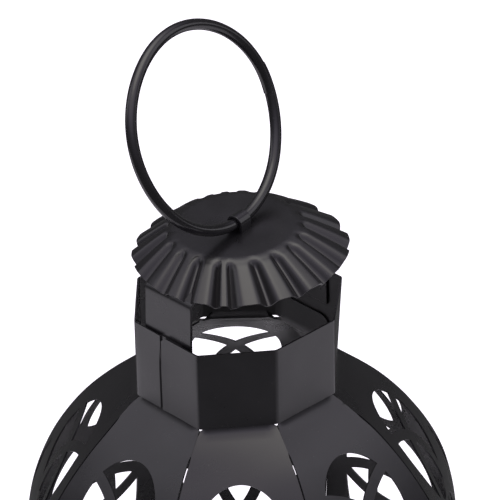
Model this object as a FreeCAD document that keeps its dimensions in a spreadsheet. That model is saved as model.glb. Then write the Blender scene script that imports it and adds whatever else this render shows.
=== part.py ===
import FreeCAD
import Part
import Sketcher
import math
import os

from FreeCAD import Placement, Rotation, Vector

# Octagonal pierced-metal lantern. Origin: centre of the footprint on the floor.
# +Z is up and the front panel faces -Y. All lengths are in millimetres.

DRIVING = {
    # sheet metal
    "gauge": "0.5",
    "strap_gauge": "0.8",
    "slit_width": "0.6",
    # body: eight gores bent to one arc that is widest at the equator
    "equator_flats": "128.2",
    "equator_height": "83.2",
    "profile_radius": "93.25",
    "ear_drop": "4.5",
    "ear_notch": "0.8",
    "tab_width": "17",
    "tab_length": "9.5",
    "tab_corner": "3",
    # neck collar
    "collar_flats": "56",
    "collar_base": "158",
    "collar_height": "24.2",
    "collar_corner": "1.6",
    "seam_inset": "1.6",
    "seam_lap": "7",
    "seam_notch": "1.4",
    "lap_lift": "0.6",
    # foot
    "foot_flats": "70",
    "foot_height": "14",
    "foot_hem": "4",
    "pan_height": "2.2",
    "pan_rim": "5",
    # pierced pattern, measured along the metal from the neck
    "oval_centre": "37.3",
    "oval_half_width": "13.6",
    "oval_half_length": "20.1",
    "medallion_half_width": "18.4",
    "medallion_half_length": "26.4",
    "bar_width": "3.4",
    "bar_radius": "31.2",
    "bar_side": "23.7",
    "bar_centre": "54.6",
    "eye_radius": "36",
    "eye_side": "30",
    "eyelet_top": "45.5",
    "eyelet_foot": "66",
    "eyelet_top_side": "18.7",
    "eyelet_foot_side": "23.3",
    "eyelet_inner_side": "19.9",
    "eyelet_outer_side": "22.3",
    # cap
    "cap_height": "47.75",
    "cap_offset": "1",
    "cap_disc_radius": "18.8",
    "cap_rim_radius": "28.9",
    "cap_rim_drop": "7.1",
    "flute_depth": "0.95",
    "flute_count": "21",
    # bracket under the cap
    "bracket_width": "17.6",
    "bracket_lap": "11",
    "bracket_shoulder": "35.5",
    "bracket_flat": "9",
    # hanging ring and its clip
    "ring_radius": "28.2",
    "ring_wire": "3.2",
    "ring_turn": "52",
    "ring_lean": "23",
    "clip_width": "4.5",
    "clip_slack": "0.15",
    "clip_foot": "4",
    # candle cup
    "cup_radius": "20",
    "cup_depth": "9",
    "cup_lip": "1.6",
    "cup_dimple": "1.4",
    "rivet_radius": "2",
    # door hinge and latch
    "pin_radius": "0.8",
    "pin_slack": "0.05",
    "hinge_height": "12",
    "hinge_leaf": "7.2",
    "knuckle_gap": "0.2",
    "latch_inset": "4.35",
    "spindle_radius": "1.25",
    "lever_length": "11",
    "lever_width": "4",
    "grip_reach": "2.4",
    "cam_length": "7.3",
    "cam_depth": "3.9",
    "door_gap_top": "1.5",
    "door_gap_foot": "1.8",
}

HALF_SIDE = 22.5          # half the angle that one side of an octagon spans, degrees
SIDE = 2 * HALF_SIDE
TAN_SIDE = math.tan(math.radians(HALF_SIDE))
COS_SIDE = math.cos(math.radians(HALF_SIDE))
PANELS = ["panel_front", "panel_front_right", "panel_right", "panel_back_right",
          "panel_back", "door_panel", "panel_left", "panel_front_left"]
DOOR = PANELS.index("door_panel")
LAPPED = PANELS.index("panel_front_left")    # the side of the collar that has its seam

doc = FreeCAD.newDocument("lantern")
sheet = doc.addObject("Spreadsheet::Sheet", "Sizes")
for row, (alias, value) in enumerate(DRIVING.items(), start=1):
    sheet.set("A%d" % row, alias.replace("_", " "))
    sheet.set("B%d" % row, value)
    sheet.setAlias("B%d" % row, alias)
doc.recompute()


def size(alias):
    return float(sheet.get(alias))


def bind(obj, **expressions):
    """Bind properties to sheet cells: a double underscore stands for a dot."""
    for name, expression in expressions.items():
        obj.setExpression(name.replace("__", "."), expression)


# ---------------------------------------------------------------- helpers

def new_body(label):
    body = doc.addObject("PartDesign::Body", label)
    body.Label = label
    return body


def new_sketch(body, name, role, lift=None):
    """Sketch on one of the body's own origin planes, lifted along its normal."""
    sketch = body.newObject("Sketcher::SketchObject", name)
    plane = [f for f in body.Origin.OriginFeatures if f.Role == role][0]
    sketch.AttachmentSupport = (plane, [""])
    sketch.MapMode = "FlatFace"
    if lift is not None:
        sketch.setExpression(".AttachmentOffset.Base.z", lift)
    return sketch


def add_outline(sketch, points):
    """Closed outline: each point is (x, y), or (x, y, bx, by) to arc through b to it."""
    last = Vector(points[-1][0], points[-1][1], 0)
    for point in points:
        here = Vector(point[0], point[1], 0)
        if len(point) == 4:
            sketch.addGeometry(Part.ArcOfCircle(last, Vector(point[2], point[3], 0), here))
        else:
            sketch.addGeometry(Part.LineSegment(last, here))
        last = here


def add_octagon(sketch, flats):
    """Regular octagon with a side facing -Y; flats is an expression."""
    radius = 30
    first = len(sketch.Geometry)
    corners = [Vector(radius * math.cos(math.radians(a)), radius * math.sin(math.radians(a)), 0)
               for a in [HALF_SIDE + SIDE * k for k in range(8)]]
    for k in range(8):
        sketch.addGeometry(Part.LineSegment(corners[k], corners[(k + 1) % 8]))
    circle = sketch.addGeometry(Part.Circle(Vector(0, 0, 0), Vector(0, 0, 1), radius), True)
    sketch.addConstraint(Sketcher.Constraint("Coincident", circle, 3, -1, 1))
    for k in range(8):
        sketch.addConstraint(
            Sketcher.Constraint("Coincident", first + k, 2, first + (k + 1) % 8, 1))
        sketch.addConstraint(Sketcher.Constraint("PointOnObject", first + k, 1, circle))
        if k:
            sketch.addConstraint(Sketcher.Constraint("Equal", first, first + k))
    sketch.addConstraint(Sketcher.Constraint("Horizontal", first + 5))
    index = sketch.addConstraint(Sketcher.Constraint("Radius", circle, radius))
    sketch.setExpression("Constraints[%d]" % index, "(%s) / 2 / cos(22.5)" % flats)


def add_circle(sketch, radius, x=0.0, y=0.0):
    circle = sketch.addGeometry(Part.Circle(Vector(x, y, 0), Vector(0, 0, 1), 5))
    index = sketch.addConstraint(Sketcher.Constraint("Radius", circle, 5))
    sketch.setExpression("Constraints[%d]" % index, radius)
    if x == 0 and y == 0:
        sketch.addConstraint(Sketcher.Constraint("Coincident", circle, 3, -1, 1))


def pad(body, sketch, length, symmetric=False, backwards=False):
    feature = body.newObject("PartDesign::Pad", sketch.Name + "_pad")
    feature.Profile = sketch
    feature.Midplane = symmetric
    feature.Reversed = backwards
    feature.setExpression("Length", length)
    sketch.Visibility = False
    doc.recompute()
    return feature


def pocket(body, sketch, length, symmetric=False, backwards=False):
    """Cut, and check that the cut took material away."""
    before = body.Shape.Volume
    feature = body.newObject("PartDesign::Pocket", sketch.Name + "_pocket")
    feature.Profile = sketch
    feature.Midplane = symmetric
    feature.Reversed = backwards
    feature.setExpression("Length", length)
    doc.recompute()
    if body.Shape.Volume > before - 1e-3:
        raise RuntimeError(sketch.Name + " cuts nothing")
    return feature


def revolve(body, sketch):
    feature = body.newObject("PartDesign::Revolution", sketch.Name + "_turn")
    feature.Profile = sketch
    feature.ReferenceAxis = (sketch, ["V_Axis"])
    feature.Angle = 360
    doc.recompute()
    return feature


def edges_where(shape, test):
    return ["Edge%d" % (i + 1) for i, edge in enumerate(shape.Edges) if test(edge)]


def fillet(body, base, names, radius):
    feature = body.newObject("PartDesign::Fillet", base.Name + "_fillet")
    feature.Base = (base, names)
    feature.setExpression("Radius", radius)
    doc.recompute()
    return feature


def box(name, length, width, height, corner):
    """Part::Box whose three sizes are expressions, with its low corner at a point."""
    obj = doc.addObject("Part::Box", name)
    bind(obj, Length=length, Width=width, Height=height)
    obj.Placement = Placement(Vector(*corner), Rotation())
    return obj


def cylinder(name, radius, height, x=0.0, y=0.0, z=0.0):
    obj = doc.addObject("Part::Cylinder", name)
    bind(obj, Radius=radius, Height=height)
    obj.Placement = Placement(Vector(x, y, z), Rotation())
    return obj


def cut(name, base, tool):
    obj = doc.addObject("Part::Cut", name)
    obj.Base = base
    obj.Tool = tool
    return obj


def fuse(name, pieces):
    obj = doc.addObject("Part::MultiFuse", name)
    obj.Shapes = pieces
    return obj


def compound(name, pieces):
    obj = doc.addObject("Part::Compound", name)
    obj.Links = pieces
    return obj


# ---------------------------------------------------------------- body profile

EQUATOR = size("equator_height")
PROFILE_R = size("profile_radius")
PROFILE_INSET = PROFILE_R - size("equator_flats") / 2   # arc centre, past the lantern's axis
NECK_Z = size("collar_base")
GAUGE = size("gauge")
COLLAR_INSIDE = size("collar_flats") / 2 - GAUGE
FOOT_INSIDE = size("foot_flats") / 2 - GAUGE


def height_at(apothem, radius=PROFILE_R):
    """Height above the equator where the arc passes a distance from the axis."""
    return math.sqrt(radius ** 2 - (apothem + PROFILE_INSET) ** 2)


def apothem_at(height, radius=PROFILE_R):
    return math.sqrt(radius ** 2 - height ** 2) - PROFILE_INSET


GORE_TOP = EQUATOR + height_at(COLLAR_INSIDE)
GORE_FOOT = EQUATOR - height_at(FOOT_INSIDE)
NECK_ARC = PROFILE_R * math.asin((NECK_Z - EQUATOR) / PROFILE_R)  # metal from neck to equator


def arc_frame(distance, turned=False):
    """Frame on the metal: Z out of the sheet, Y up it, distance measured from the neck."""
    rise = (NECK_ARC - distance) / PROFILE_R
    spot = Vector(0, PROFILE_INSET - PROFILE_R * math.cos(rise),
                  EQUATOR + PROFILE_R * math.sin(rise))
    tilt = Rotation(Vector(1, 0, 0), 90 - math.degrees(rise))
    if turned:
        tilt = tilt * Rotation(Vector(0, 0, 1), 180)
    return Placement(spot, tilt)


# ---------------------------------------------------------------- pierced pattern

CUT_DEPTH = "10"
CUT_REACH = 5     # how far outside the metal an ear notch starts


def pierced_ellipse(name, half_width, half_length, arcs):
    """Ellipse less curved bars, each an arc given by its centre (x, y) and radius cell."""
    ring = doc.addObject("Part::Ellipse", name + "_edge")
    bind(ring, MajorRadius=half_length, MinorRadius=half_width)
    ring.Placement = Placement(Vector(), Rotation(Vector(0, 0, 1), 90))
    plug = doc.addObject("Part::Extrusion", name + "_plug")
    plug.Base = ring
    plug.DirMode = "Custom"
    plug.Dir = Vector(0, 0, 1)
    bind(plug, LengthFwd=CUT_DEPTH, LengthRev=CUT_DEPTH)
    plug.Solid = True
    bars = []
    for x, y, radius in arcs:
        place = (x, y, -float(CUT_DEPTH))
        outer = cylinder("%s_bar_outer" % name, radius + " + Sizes.bar_width / 2",
                         "2 * " + CUT_DEPTH, *place)
        inner = cylinder("%s_bar_inner" % name, radius + " - Sizes.bar_width / 2",
                         "2 * " + CUT_DEPTH, *place)
        bars.append(cut("%s_bar" % name, outer, inner))
    return cut(name, plug, fuse(name + "_bars", bars))


def eyelet(name, side):
    """Slender side hole between the oval and the panel's edge."""
    top = size("eyelet_top")
    foot = size("eyelet_foot")
    middle = (top + foot) / 2
    half = (foot - top) / 2
    outline = doc.addObject("Sketcher::SketchObject", name + "_outline")
    add_outline(outline, [
        (side * size("eyelet_foot_side"), -half, side * size("eyelet_outer_side"), half / 4),
        (side * size("eyelet_top_side"), half, side * size("eyelet_inner_side"), 0)])
    plug = doc.addObject("Part::Extrusion", name)
    plug.Base = outline
    plug.DirMode = "Custom"
    plug.Dir = Vector(0, 0, 1)
    bind(plug, LengthFwd=CUT_DEPTH, LengthRev=CUT_DEPTH)
    plug.Solid = True
    return plug, middle


def crossing_arcs(lift):
    """Two upright bars that cross above and below a height, bowed outward between."""
    return [(side * size("bar_side"), lift, "Sizes.bar_radius") for side in (-1, 1)]


def eye_arcs():
    """Two level bars that meet at both sides of the panel, bowed apart between."""
    return [(0, side * size("eye_side"), "Sizes.eye_radius") for side in (-1, 1)]


def make_pattern():
    """Everything that is punched out of one panel, as one group of cutters."""
    cutters = []
    for name, turned in (("upper_oval", False), ("lower_oval", True)):
        holes = pierced_ellipse(name, "Sizes.oval_half_width", "Sizes.oval_half_length",
                                crossing_arcs(size("oval_centre") - size("bar_centre")))
        distance = size("oval_centre")
        holes.Placement = arc_frame(2 * NECK_ARC - distance if turned else distance, turned)
        cutters.append(holes)
    medallion = pierced_ellipse("medallion", "Sizes.medallion_half_width",
                                "Sizes.medallion_half_length",
                                crossing_arcs(0) + eye_arcs())
    medallion.Placement = arc_frame(NECK_ARC)
    cutters.append(medallion)
    for name, side, turned in (("eyelet_a", 1, False), ("eyelet_b", -1, False),
                               ("eyelet_c", 1, True), ("eyelet_d", -1, True)):
        hole, middle = eyelet(name, side)
        hole.Placement = arc_frame(2 * NECK_ARC - middle if turned else middle, turned)
        cutters.append(hole)
    for height, reach in ((GORE_TOP, COLLAR_INSIDE), (GORE_FOOT, FOOT_INSIDE)):
        for side in (-1, 1):
            notch = cylinder("ear_notch", "Sizes.ear_notch", CUT_DEPTH)
            notch.Placement = Placement(Vector(side * reach * TAN_SIDE, -reach - CUT_REACH, height),
                                        Rotation(Vector(1, 0, 0), -90))
            cutters.append(notch)
    return compound("pattern", cutters)


# ---------------------------------------------------------------- panels

NEAR = 20         # the gore wedge runs between these distances from the axis
FAR = 75
TAB_ROOT = 0.25   # how far a tab is sunk into the gore it continues


def wedge(name, gap, low, high):
    """Slice between two joint planes; gap, low and high are expressions."""
    obj = doc.addObject("Part::Wedge", name)
    near = "%g * tan(22.5) - (%s) / 2 / cos(22.5)" % (NEAR, gap)
    far = "%g * tan(22.5) - (%s) / 2 / cos(22.5)" % (FAR, gap)
    bind(obj, Xmin="-(%s)" % near, Xmax=near, X2min="-(%s)" % far, X2max=far,
         Zmin=low, Zmax=high, Z2min=low, Z2max=high)
    obj.Ymin = NEAR
    obj.Ymax = FAR
    obj.Placement = Placement(Vector(), Rotation(Vector(0, 0, 1), 180))
    return obj


def bent_sheet():
    """The arc that every panel is bent to, as a tube lying along X."""
    tubes = []
    for name, radius in (("arc_outside", "Sizes.profile_radius"),
                         ("arc_inside", "Sizes.profile_radius - Sizes.gauge")):
        obj = cylinder(name, radius, "2 * %g" % FAR)
        obj.Placement = Placement(Vector(-FAR, PROFILE_INSET, EQUATOR),
                                  Rotation(Vector(0, 1, 0), 90))
        tubes.append(obj)
    return cut("bent_sheet", *tubes)


def tab(name, inside, low, rounded_up):
    """Flat tab with two rounded corners that sits inside the collar or the foot."""
    blank = box(name + "_blank", "Sizes.tab_width", "Sizes.gauge", "Sizes.tab_length",
                (-size("tab_width") / 2, -inside, low))
    doc.recompute()
    free_z = low + (size("tab_length") if rounded_up else 0)
    rounded = doc.addObject("Part::Fillet", name)
    rounded.Base = blank
    radius = size("tab_corner")
    rounded.Edges = [(i + 1, radius, radius) for i, edge in enumerate(blank.Shape.Edges)
                     if abs(edge.CenterOfMass.z - free_z) < 1e-6
                     and abs(abs(edge.CenterOfMass.x) - size("tab_width") / 2) < 1e-6]
    return rounded


def make_panels():
    sheet_arc = bent_sheet()
    pattern = make_pattern()
    ears_top = wedge("ears_top", "0", "%g - Sizes.ear_drop" % GORE_TOP, "%g" % GORE_TOP)
    ears_foot = wedge("ears_foot", "0", "%g" % GORE_FOOT, "%g + Sizes.ear_drop" % GORE_FOOT)
    slit_gore = wedge("slit_gore", "Sizes.slit_width", "%g" % GORE_FOOT, "%g" % GORE_TOP)
    wedges = fuse("gore_slice", [slit_gore, ears_top, ears_foot])
    strip = doc.addObject("Part::Common", "gore")
    strip.Base = sheet_arc
    strip.Tool = wedges
    tab_low = GORE_TOP - TAB_ROOT
    tab_top = tab("neck_tab", COLLAR_INSIDE, tab_low, True)
    tab_behind_lap = tab("lapped_tab", COLLAR_INSIDE - GAUGE, tab_low, True)
    tab_foot = tab("foot_tab", FOOT_INSIDE, GORE_FOOT + TAB_ROOT - size("tab_length"), False)
    blank = fuse("panel_blank", [strip, tab_top, tab_foot])
    lapped_blank = fuse("lapped_panel_blank", [strip, tab_behind_lap, tab_foot])
    door_slice = wedge("door_slice", "Sizes.slit_width",
                       "%g + Sizes.door_gap_foot" % (size("foot_height")),
                       "Sizes.collar_base - Sizes.door_gap_top")
    door_blank = doc.addObject("Part::Common", "door_blank")
    door_blank.Base = sheet_arc
    door_blank.Tool = door_slice
    bore = cylinder("spindle_bore", "Sizes.spindle_radius + Sizes.pin_slack", "20")
    bore.Placement = Placement(Vector(latch_u(), -size("equator_flats") / 2 - 10, EQUATOR),
                               Rotation(Vector(1, 0, 0), -90))
    door_cutters = compound("door_cutters", [pattern, bore])
    blanks = {DOOR: door_blank, LAPPED: lapped_blank}
    for k, label in enumerate(PANELS):
        panel = cut(label, blanks.get(k, blank), door_cutters if k == DOOR else pattern)
        panel.Label = label
        panel.Placement = Placement(Vector(), Rotation(Vector(0, 0, 1), SIDE * k))


def latch_u():
    """Sideways place of the latch spindle on the door."""
    return size("equator_flats") / 2 * TAN_SIDE - size("latch_inset")


# ---------------------------------------------------------------- octagonal bands

def octagon_band(label, flats, low, height):
    """Band of sheet bent into an octagon with softly rounded corners."""
    body = new_body(label)
    flats_cell = "Sizes." + flats
    outline = new_sketch(body, label + "_outline", "XY_Plane", low)
    add_octagon(outline, flats_cell)
    add_octagon(outline, "%s - 2 * Sizes.gauge" % flats_cell)
    band = pad(body, outline, height)

    def upright_at(apothem):
        def test(edge):
            spot = edge.CenterOfMass
            reach = math.hypot(spot.x, spot.y) * COS_SIDE
            upright = abs(edge.BoundBox.ZLength - edge.Length) < 1e-6
            return upright and abs(reach - apothem) < 0.05
        return test

    half = size(flats) / 2
    outer = edges_where(band.Shape, upright_at(half))
    rounded = fillet(body, band, outer, "Sizes.collar_corner")
    inner = edges_where(rounded.Shape, upright_at(half - GAUGE))
    fillet(body, rounded, inner, "Sizes.collar_corner - Sizes.gauge")
    return body


def face_points(turn, half, points):
    """Points given as (along the side, out from the side) turned to one octagon side."""
    angle = math.radians(-90 + SIDE * turn)
    out = (math.cos(angle), math.sin(angle))
    along = (-math.sin(angle), math.cos(angle))
    return [(half * out[0] + p * along[0] + q * out[0],
             half * out[1] + p * along[1] + q * out[1]) for p, q in points]


def make_collar():
    body = octagon_band("neck_collar", "collar_flats", "Sizes.collar_base",
                        "Sizes.collar_height")
    half = size("collar_flats") / 2
    side = half * TAN_SIDE
    seam = -size("seam_inset")
    lap_start = seam - size("seam_lap") / 2
    lap_end = seam + size("seam_lap")
    turn = LAPPED - len(PANELS)
    clear = 0.3           # the cutters start this far outside the metal
    # The band's inner end runs on behind its outer end, clear of the panel below.
    lap = new_sketch(body, "collar_lap", "XY_Plane", "Sizes.collar_base + Sizes.lap_lift")
    add_outline(lap, face_points(turn, half, [
        (lap_start, -GAUGE), (lap_start, -2 * GAUGE), (lap_end, -2 * GAUGE),
        (lap_end, -GAUGE)]))
    pad(body, lap, "Sizes.collar_height - Sizes.lap_lift")
    # Left of the seam the metal sinks by most of its thickness to pass under the outer end.
    sink = new_sketch(body, "collar_sink", "XY_Plane", "Sizes.collar_base")
    sink_start = -side * 0.75
    add_outline(sink, face_points(turn, half, [
        (sink_start, clear), (sink_start, 0.0), (seam, -GAUGE * 0.8), (seam, clear)]))
    pocket(body, sink, "Sizes.collar_height", backwards=True)
    notch = new_sketch(body, "collar_notch", "XY_Plane",
                       "Sizes.collar_base + Sizes.collar_height - Sizes.seam_notch")
    notch_half = size("seam_notch") / 2
    add_outline(notch, face_points(turn, half, [
        (seam - notch_half, clear), (seam - notch_half, -GAUGE * 0.95),
        (seam + notch_half, -GAUGE * 0.95), (seam + notch_half, clear)]))
    pocket(body, notch, "2 * Sizes.seam_notch", backwards=True)
    return body


def make_foot():
    body = octagon_band("foot_band", "foot_flats", "0", "Sizes.foot_height")
    hem = new_sketch(body, "foot_hem", "XY_Plane", "0")
    add_octagon(hem, "Sizes.foot_flats - 2 * Sizes.gauge")
    add_octagon(hem, "Sizes.foot_flats - 2 * Sizes.foot_hem")
    pad(body, hem, "Sizes.gauge")
    return body


def make_base_pan():
    """Shallow octagonal pan inside the foot: a floor with an upturned rim."""
    body = new_body("base_plate")
    pan_flats = "Sizes.foot_flats - 4 * Sizes.gauge"
    outline = new_sketch(body, "pan_outline", "XY_Plane", "Sizes.pan_height")
    add_octagon(outline, pan_flats)
    pad(body, outline, "Sizes.pan_rim")
    hollow = new_sketch(body, "pan_hollow", "XY_Plane", "Sizes.pan_height + Sizes.gauge")
    add_octagon(hollow, "%s - 2 * Sizes.gauge" % pan_flats)
    pocket(body, hollow, "Sizes.pan_rim", backwards=True)
    bore = new_sketch(body, "pan_bore", "XY_Plane", "Sizes.pan_height - 1")
    add_circle(bore, "Sizes.rivet_radius")
    pocket(body, bore, "3", backwards=True)
    return body


# ---------------------------------------------------------------- candle cup

def make_cup():
    """Turned-over cup wall on a floor that is dimpled down to the pan at the rivet."""
    body = new_body("candle_cup")
    outline = new_sketch(body, "cup_outline", "XZ_Plane")
    low = size("pan_height") + GAUGE
    floor = low + size("cup_dimple")
    inner = size("cup_radius")
    wall = inner + GAUGE
    top = floor + GAUGE + size("cup_depth")
    lip = size("cup_lip")
    lip_edge = GAUGE * 0.7            # the flared lip ends square to its slope
    bore = size("rivet_radius")
    dimple = bore * 2.4
    slope = 0.8                       # run of the dimple's side
    thin = GAUGE * 0.6                # sideways thickness of a sloping side
    add_outline(outline, [
        (bore, low), (dimple, low), (dimple + slope, floor), (inner, floor),
        (wall, floor + GAUGE), (wall, top - lip), (wall + lip, top - lip_edge),
        (wall + lip - lip_edge, top), (inner, top - lip + GAUGE / 2),
        (inner, floor + GAUGE), (dimple + slope - thin, floor + GAUGE),
        (dimple - thin, low + GAUGE), (bore, low + GAUGE)])
    revolve(body, outline)
    return body


def make_cup_rivet():
    body = new_body("cup_rivet")
    outline = new_sketch(body, "rivet_outline", "XZ_Plane")
    shank = size("rivet_radius")
    head = shank * 1.75
    head_rise = 1.1
    low = size("pan_height")
    tail = low - 0.9                  # hammered tail under the pan
    tail_radius = shank * 1.45
    seat = low + 2 * GAUGE
    add_outline(outline, [
        (0, tail), (shank * 0.9, tail + 0.15), (shank * 1.4, tail + 0.6),
        (tail_radius, low), (shank, low), (shank, seat), (head, seat),
        (head * 0.35, seat + head_rise, head * 0.8, seat + head_rise * 0.7),
        (0, seat + head_rise)])
    revolve(body, outline)
    return body


# ---------------------------------------------------------------- cap

SLOT_MARGIN = 0.1     # slots are this much wider than the clip's legs on each side
WAVE_POINTS = 8       # points of a wave on each flute


def wave_wire(radius, depth, height):
    """Closed smooth wire that waves in and out once for each flute."""
    flutes = int(size("flute_count"))
    count = flutes * WAVE_POINTS
    points = []
    for i in range(count):
        angle = 2 * math.pi * i / count
        reach = radius + depth * math.cos(flutes * angle)
        points.append(Vector(reach * math.cos(angle), reach * math.sin(angle), height))
    curve = Part.BSplineCurve()
    curve.interpolate(Points=points, PeriodicFlag=True)
    return Part.Wire(curve.toShape())


def make_cap():
    """Flat disc with a flared, fluted skirt, pressed from one sheet."""
    top = NECK_Z + size("cap_height")
    disc = size("cap_disc_radius")
    rim = size("cap_rim_radius")
    drop = size("cap_rim_drop")
    depth = size("flute_depth")
    waist = disc + (rim - disc) * 0.46    # where the flutes are three quarters deep
    waist_drop = drop * 0.42
    first_wave = 0.02                     # the flutes start from almost nothing

    def bell(inset, lower):
        return Part.makeLoft([
            wave_wire(disc - inset, first_wave, top - lower),
            wave_wire(waist - inset, depth * 0.75, top - lower - waist_drop),
            wave_wire(rim - inset, depth, top - lower - drop)], True, False)

    shape = bell(0, 0).cut(bell(GAUGE * 0.6, GAUGE))
    leg = size("strap_gauge")
    gap = size("ring_wire") / 2 + size("clip_slack")
    width = size("clip_width") + 2 * SLOT_MARGIN
    depth = 8 * GAUGE
    for side in (-1, 1):
        near = side * (gap + leg / 2) - leg / 2 - SLOT_MARGIN
        slot = Part.makeBox(width, leg + 2 * SLOT_MARGIN, depth,
                            Vector(-width / 2, near, top - depth / 2))
        slot.rotate(Vector(), Vector(0, 0, 1), size("ring_turn"))
        shape = shape.cut(slot)
    cap = doc.addObject("Part::Feature", "fluted_cap")
    cap.Label = "fluted_cap"
    cap.Shape = shape
    cap.Placement = Placement(Vector(size("cap_offset"), 0, 0), Rotation())
    return cap


def make_bracket():
    """Strap that stands on the collar's inside and carries the cap.

    Its left leg stands on the seam's lap, so it is one gauge nearer the axis.
    """
    body = new_body("cap_bracket")
    leg = size("strap_gauge")
    shoulder = NECK_Z + size("bracket_shoulder")
    top = NECK_Z + size("cap_height") - GAUGE
    flat = size("bracket_flat")
    foot = NECK_Z + size("collar_height") - size("bracket_lap")

    def half(outer):
        slope = math.atan2(top - shoulder, outer - flat)
        inner_shoulder = shoulder - leg * math.tan(math.pi / 4 - slope / 2)
        inner_flat = flat - leg * math.tan(slope / 2)
        return ([(outer, foot), (outer, shoulder), (flat, top)],
                [(inner_flat, top - leg), (outer - leg, inner_shoulder), (outer - leg, foot)])

    right, right_back = half(COLLAR_INSIDE)
    left, left_back = half(COLLAR_INSIDE - GAUGE)
    outline = new_sketch(body, "bracket_outline", "XZ_Plane")
    points = right + [(-x, z) for x, z in reversed(left)]
    points += [(-x, z) for x, z in reversed(left_back)] + right_back
    add_outline(outline, points)
    pad(body, outline, "Sizes.bracket_width", symmetric=True)
    slots = new_sketch(body, "bracket_slots", "XY_Plane",
                       "Sizes.collar_base + Sizes.cap_height - 3 * Sizes.strap_gauge")
    add_clip_slots(slots, size("ring_turn") - SIDE)
    pocket(body, slots, "3 * Sizes.strap_gauge", backwards=True)
    body.Placement = Placement(Vector(), Rotation(Vector(0, 0, 1), SIDE))
    return body


def add_clip_slots(sketch, turn):
    """Two slots that the clip's legs pass through, in a strap turned by SIDE."""
    shift_x = size("cap_offset") * math.cos(math.radians(SIDE))
    shift_y = -size("cap_offset") * math.sin(math.radians(SIDE))
    gap = size("ring_wire") / 2 + size("clip_slack")
    leg = size("strap_gauge")
    half = size("clip_width") / 2 + SLOT_MARGIN
    angle = math.radians(turn)
    for side in (-1, 1):
        near = side * (gap - SLOT_MARGIN)
        far = side * (gap + leg + SLOT_MARGIN)
        corners = [(-half, near), (half, near), (half, far), (-half, far)]
        add_outline(sketch, [(shift_x + x * math.cos(angle) - y * math.sin(angle),
                              shift_y + x * math.sin(angle) + y * math.cos(angle))
                             for x, y in corners])


# ---------------------------------------------------------------- ring and clip

def wire_height():
    """Height of the ring's wire where it passes through the clip."""
    return NECK_Z + size("cap_height") + size("ring_wire") / 2 + 0.05


def make_ring():
    ring = doc.addObject("Part::Torus", "hanging_ring")
    ring.Label = "hanging_ring"
    bind(ring, Radius1="Sizes.ring_radius", Radius2="Sizes.ring_wire / 2")
    turn = math.radians(size("ring_turn"))
    lean = math.radians(size("ring_lean"))
    along = Vector(math.cos(turn), math.sin(turn), 0)
    rise = Vector(-math.sin(turn) * math.sin(lean), math.cos(turn) * math.sin(lean),
                  math.cos(lean))
    centre = Vector(size("cap_offset"), 0, wire_height()) + rise * size("ring_radius")
    ring.Placement = Placement(centre, Rotation(along, rise, along.cross(rise), "XYZ"))
    return ring


def make_clip():
    """Staple over the ring's wire, with its legs spread under the bracket."""
    body = new_body("ring_clip")
    leg = size("strap_gauge")
    inner = size("ring_wire") / 2 + size("clip_slack")
    outer = inner + leg
    bend = wire_height()
    under = NECK_Z + size("cap_height") - GAUGE - leg
    foot = size("clip_foot")
    outline = new_sketch(body, "clip_outline", "YZ_Plane")
    add_outline(outline, [
        (-inner, bend), (inner, bend, 0, bend + inner), (inner, under - leg),
        (outer + foot, under - leg), (outer + foot, under), (outer, under), (outer, bend),
        (-outer, bend, 0, bend + outer), (-outer, under), (-outer - foot, under),
        (-outer - foot, under - leg), (-inner, under - leg)])
    pad(body, outline, "Sizes.clip_width", symmetric=True)
    body.Placement = Placement(Vector(size("cap_offset"), 0, 0),
                               Rotation(Vector(0, 0, 1), size("ring_turn")))
    return body


# ---------------------------------------------------------------- door hinge

LEAF = 0.6            # hinge leaf thickness
LEAF_START = 1.9      # where the whole height of a leaf starts, clear of the knuckles
LEAF_OVERLAP = 0.3


def hinge_axis():
    """Distance of the hinge pin from the lantern's axis."""
    corner = size("equator_flats") / 2 / COS_SIDE
    return corner + size("pin_radius") + size("pin_slack") + LEAF + 0.1


def hinge_turn():
    """Angle about Z of the joint that carries the hinge."""
    return -90 + SIDE * DOOR - HALF_SIDE


def make_leaf(label, side, knuckles):
    """Leaf lying on the outside of one panel; side is +1 on the door's panel.

    It is drawn with X pointing out through the hinge pin, and each knuckle is
    given as its lowest and highest height from the equator.
    """
    pin = hinge_axis()
    corner = size("equator_flats") / 2 / COS_SIDE
    reach = size("hinge_leaf")
    out = Vector(COS_SIDE, side * math.sin(math.radians(HALF_SIDE)), 0)
    along = Vector(-math.sin(math.radians(HALF_SIDE)), side * COS_SIDE, 0)
    bore = size("pin_radius") + size("pin_slack")

    def spot(t, q):
        return Vector(corner, 0, 0) + along * t + out * q

    def slab(t0, t1, z0, z1):
        corners = [spot(t0, 0), spot(t1, 0), spot(t1, LEAF), spot(t0, LEAF)]
        face = Part.Face(Part.makePolygon(corners + corners[:1]))
        return face.extrude(Vector(0, 0, z1 - z0)).translated(Vector(0, 0, EQUATOR + z0))

    half = size("hinge_height") / 2
    foot = (Vector(pin, 0, 0) - Vector(corner, 0, 0)).dot(along)
    shape = slab(LEAF_START, reach, -half, half)
    for low, high in knuckles:
        base = Vector(pin, 0, EQUATOR + low)
        shape = shape.fuse(slab(foot, LEAF_START + LEAF_OVERLAP, low, high))
        shape = shape.fuse(Part.makeCylinder(bore + LEAF, high - low, base))
        shape = shape.cut(Part.makeCylinder(bore, high - low, base))
    leaf = doc.addObject("Part::Feature", label)
    leaf.Label = label
    leaf.Shape = shape.removeSplitter()
    leaf.Placement = Placement(Vector(), Rotation(Vector(0, 0, 1), hinge_turn()))
    return leaf


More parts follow.
